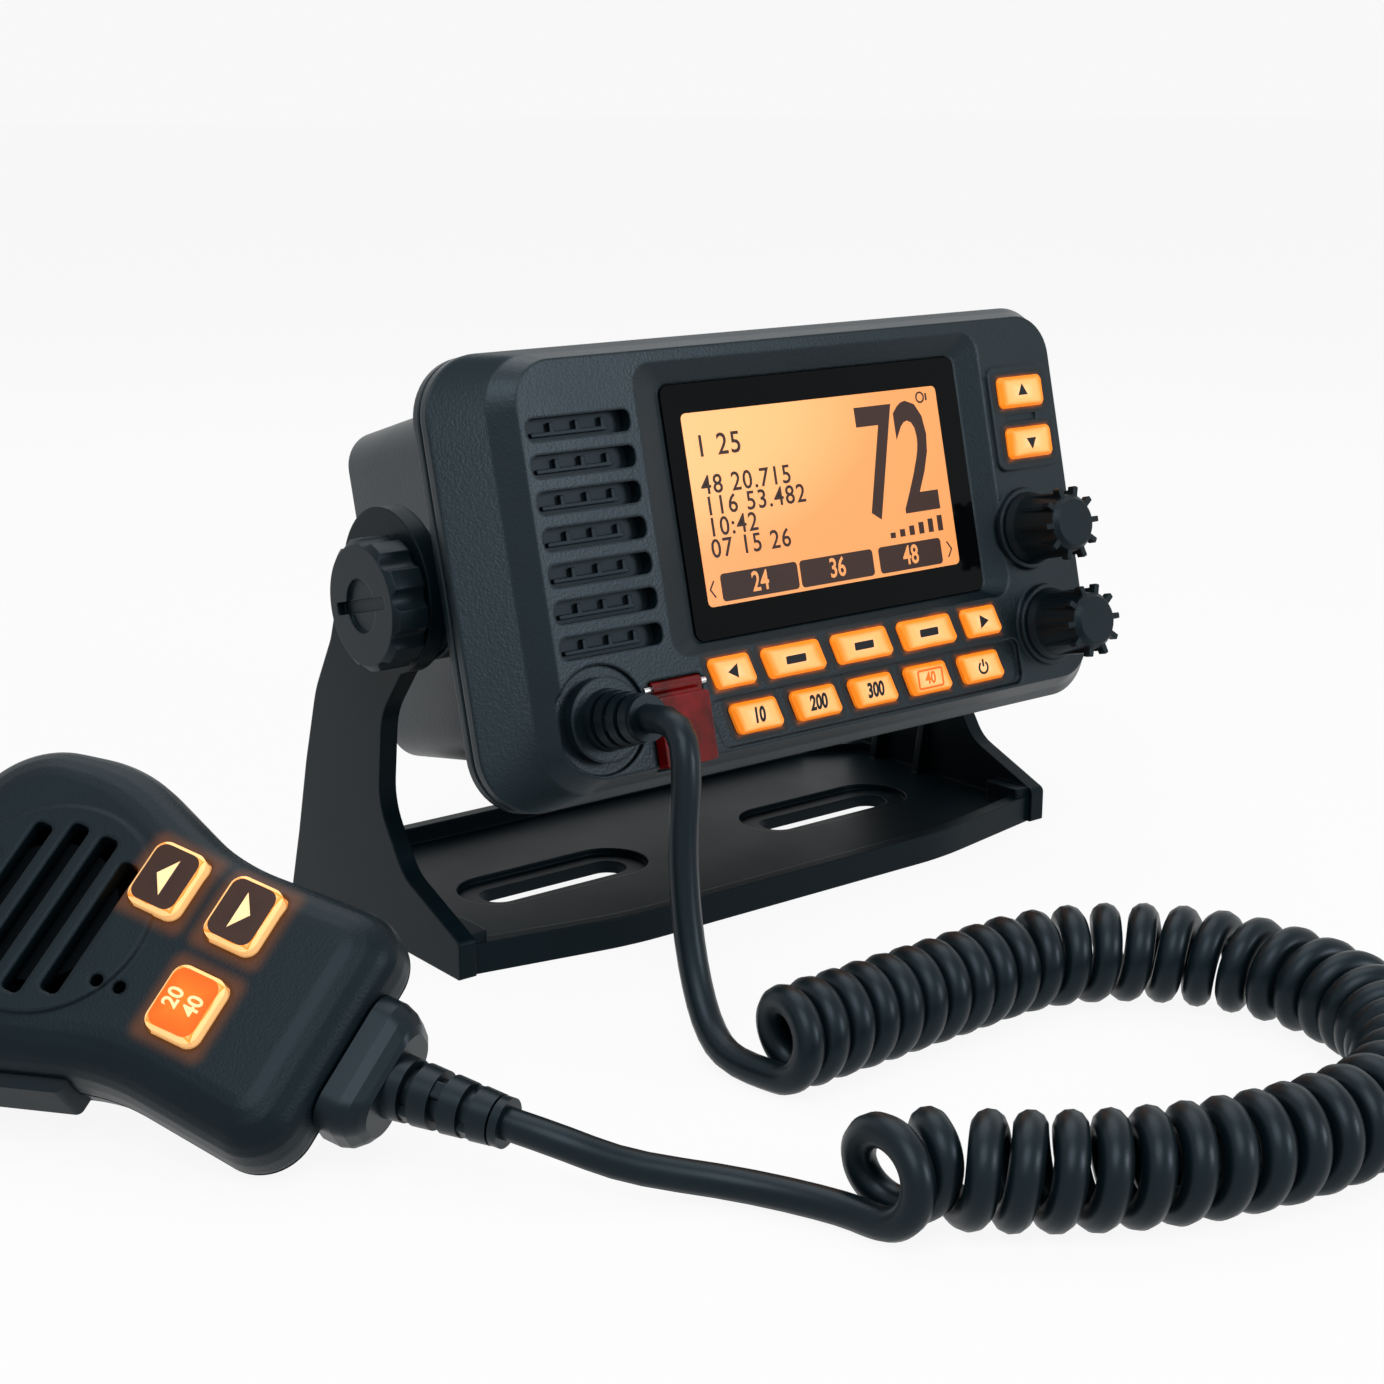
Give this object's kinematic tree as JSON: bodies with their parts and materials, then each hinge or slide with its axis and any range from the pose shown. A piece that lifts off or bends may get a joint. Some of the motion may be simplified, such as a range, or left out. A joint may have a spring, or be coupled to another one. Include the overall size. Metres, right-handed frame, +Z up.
{
  "type": "marine vhf radio",
  "caption": "fixed-mount marine radio in a tilting U bracket, with backlit keys, amber screen, two knobs, speaker grille and a fist microphone on a curly cord",
  "frame": {"origin": "bottom of the bracket's base, midway between its two arms and directly under the tilt axis", "axes": "+X to the right of the front panel along the tilt axis, +Y to the back, +Z up"},
  "size_m": [0.2901, 0.2602, 0.1246],
  "materials": {
    "case_black": "fine moulded texture, satin",
    "bracket_black": "satin moulded plastic",
    "mic_black": "fine moulded texture",
    "knob_black": "satin moulded plastic",
    "baffle_black": "moulded plastic",
    "speaker_frame": "moulded plastic",
    "seal_rubber": "matt rubber",
    "cord_black": "semi-gloss cord jacket",
    "key_lit": "translucent backlit silicone, peach to orange",
    "key_orange": "translucent backlit silicone, orange",
    "lcd": "backlit amber dot-matrix panel",
    "dark_glass": "clear window with black border",
    "red_clear": "translucent red",
    "red_button": "moulded red",
    "circuit_board": "solder-masked laminate",
    "steel": "stainless steel",
    "nickel": "nickel plated"
  },
  "bodies": {
    "bracket": {"gimbal_bracket": "bracket_black", "curly_cord": "cord_black", "drop_lead": "cord_black", "mic_lead": "cord_black", "mic_front_shell": "mic_black", "mic_back_shell": "mic_black", "mic_gasket": "seal_rubber", "mic_screws": "steel", "mic_stud": "nickel", "mic_speaker": "speaker_frame", "mic_board": "circuit_board", "mic_cable_block": "seal_rubber", "mic_strain_relief": "cord_black"},
    "radio": {"front_bezel": "case_black", "rear_case": "case_black", "case_gasket": "seal_rubber", "case_screws": "steel", "display_lens": "dark_glass", "lcd_panel": "lcd", "display_board": "circuit_board", "main_board": "circuit_board", "keypad_mat": "seal_rubber", "side_keypad_mat": "seal_rubber", "speaker_baffle": "baffle_black", "speaker": "speaker_frame", "jack_collar": "case_black", "radio_strain_relief": "cord_black", "antenna_jack": "nickel", "power_gland": "seal_rubber", "guard_pin": "steel", "channel_encoder": "speaker_frame", "volume_encoder": "speaker_frame", "gimbal_washer_left": "seal_rubber", "gimbal_washer_right": "seal_rubber"},
    "gimbal_knob_left": {"gimbal_knob_left": "knob_black"},
    "gimbal_knob_right": {"gimbal_knob_right": "knob_black"},
    "channel_knob": {"channel_knob": "knob_black"},
    "volume_knob": {"volume_knob": "knob_black"},
    "key_left": {"key_left": "key_lit"},
    "key_soft_1": {"key_soft_1": "key_lit"},
    "key_soft_2": {"key_soft_2": "key_lit"},
    "key_soft_3": {"key_soft_3": "key_lit"},
    "key_right": {"key_right": "key_lit"},
    "key_output": {"key_output": "key_lit"},
    "key_menu": {"key_menu": "key_lit"},
    "key_clear": {"key_clear": "key_lit"},
    "key_calling": {"key_calling": "key_lit"},
    "key_power": {"key_power": "key_lit"},
    "key_up": {"key_up": "key_lit"},
    "key_down": {"key_down": "key_lit"},
    "guard": {"guard_cover": "red_clear"},
    "guarded_button": {"guarded_button": "red_button"},
    "mic_key_up": {"mic_key_up": "key_lit"},
    "mic_key_down": {"mic_key_down": "key_lit"},
    "mic_key_call": {"mic_key_call": "key_orange"},
    "talk_bar": {"mic_talk_bar": "seal_rubber"}
  },
  "joints": [
    {"name": "tilt", "type": "hinge", "parent": "bracket", "child": "radio", "pos_m": [0, 0, 0.0755], "axis": [1, 0, 0], "range_deg": [-20, 24], "deforming": ["drop_lead"]},
    {"name": "gimbal_knob_left_turn", "type": "hinge", "parent": "radio", "child": "gimbal_knob_left", "pos_m": [0, 0, 0.0755], "axis": [1, 0, 0], "continuous": true},
    {"name": "gimbal_knob_right_turn", "type": "hinge", "parent": "radio", "child": "gimbal_knob_right", "pos_m": [0, 0, 0.0755], "axis": [1, 0, 0], "continuous": true},
    {"name": "channel_turn", "type": "hinge", "parent": "radio", "child": "channel_knob", "pos_m": [0.064, -0.03056, 0.07696], "axis": [0, 0.9701, -0.2426], "continuous": true},
    {"name": "volume_turn", "type": "hinge", "parent": "radio", "child": "volume_knob", "pos_m": [0.0665, -0.03599, 0.05523], "axis": [0, 0.9701, -0.2426], "range_deg": [-30, 240]},
    {"name": "key_left_press", "type": "slide", "parent": "radio", "child": "key_left", "axis": [0, 0.9701, -0.2426], "range_m": [0, 0.0008], "stiffness_N_per_m": 400},
    {"name": "key_soft_1_press", "type": "slide", "parent": "radio", "child": "key_soft_1", "axis": [0, 0.9701, -0.2426], "range_m": [0, 0.0008], "stiffness_N_per_m": 400},
    {"name": "key_soft_2_press", "type": "slide", "parent": "radio", "child": "key_soft_2", "axis": [0, 0.9701, -0.2426], "range_m": [0, 0.0008], "stiffness_N_per_m": 400},
    {"name": "key_soft_3_press", "type": "slide", "parent": "radio", "child": "key_soft_3", "axis": [0, 0.9701, -0.2426], "range_m": [0, 0.0008], "stiffness_N_per_m": 400},
    {"name": "key_right_press", "type": "slide", "parent": "radio", "child": "key_right", "axis": [0, 0.9701, -0.2426], "range_m": [0, 0.0008], "stiffness_N_per_m": 400},
    {"name": "key_output_press", "type": "slide", "parent": "radio", "child": "key_output", "axis": [0, 0.9701, -0.2426], "range_m": [0, 0.0008], "stiffness_N_per_m": 400},
    {"name": "key_menu_press", "type": "slide", "parent": "radio", "child": "key_menu", "axis": [0, 0.9701, -0.2426], "range_m": [0, 0.0008], "stiffness_N_per_m": 400},
    {"name": "key_clear_press", "type": "slide", "parent": "radio", "child": "key_clear", "axis": [0, 0.9701, -0.2426], "range_m": [0, 0.0008], "stiffness_N_per_m": 400},
    {"name": "key_calling_press", "type": "slide", "parent": "radio", "child": "key_calling", "axis": [0, 0.9701, -0.2426], "range_m": [0, 0.0008], "stiffness_N_per_m": 400},
    {"name": "key_power_press", "type": "slide", "parent": "radio", "child": "key_power", "axis": [0, 0.9701, -0.2426], "range_m": [0, 0.0008], "stiffness_N_per_m": 400},
    {"name": "key_up_press", "type": "slide", "parent": "radio", "child": "key_up", "axis": [0, 0.9701, -0.2426], "range_m": [0, 0.0008], "stiffness_N_per_m": 400},
    {"name": "key_down_press", "type": "slide", "parent": "radio", "child": "key_down", "axis": [0, 0.9701, -0.2426], "range_m": [0, 0.0008], "stiffness_N_per_m": 400},
    {"name": "guard_lift", "type": "hinge", "parent": "radio", "child": "guard", "pos_m": [-0.041, -0.03333, 0.05765], "axis": [-1, 0, 0], "range_deg": [0, 95], "stiffness_Nm_per_rad": 0.002, "springref_deg": -20.05},
    {"name": "guarded_button_press", "type": "slide", "parent": "radio", "child": "guarded_button", "axis": [0, 0.9701, -0.2426], "range_m": [0, 0.001], "stiffness_N_per_m": 500},
    {"name": "mic_key_up_press", "type": "slide", "parent": "bracket", "child": "mic_key_up", "axis": [0.5202, 0.4775, -0.7081], "range_m": [0, 0.0008], "stiffness_N_per_m": 400},
    {"name": "mic_key_down_press", "type": "slide", "parent": "bracket", "child": "mic_key_down", "axis": [0.5202, 0.4775, -0.7081], "range_m": [0, 0.0008], "stiffness_N_per_m": 400},
    {"name": "mic_key_call_press", "type": "slide", "parent": "bracket", "child": "mic_key_call", "axis": [0.5202, 0.4775, -0.7081], "range_m": [0, 0.0008], "stiffness_N_per_m": 400},
    {"name": "talk_bar_press", "type": "slide", "parent": "bracket", "child": "talk_bar", "axis": [0.7275, 0.1865, 0.6603], "range_m": [0, 0.0015], "stiffness_N_per_m": 900}
  ]
}
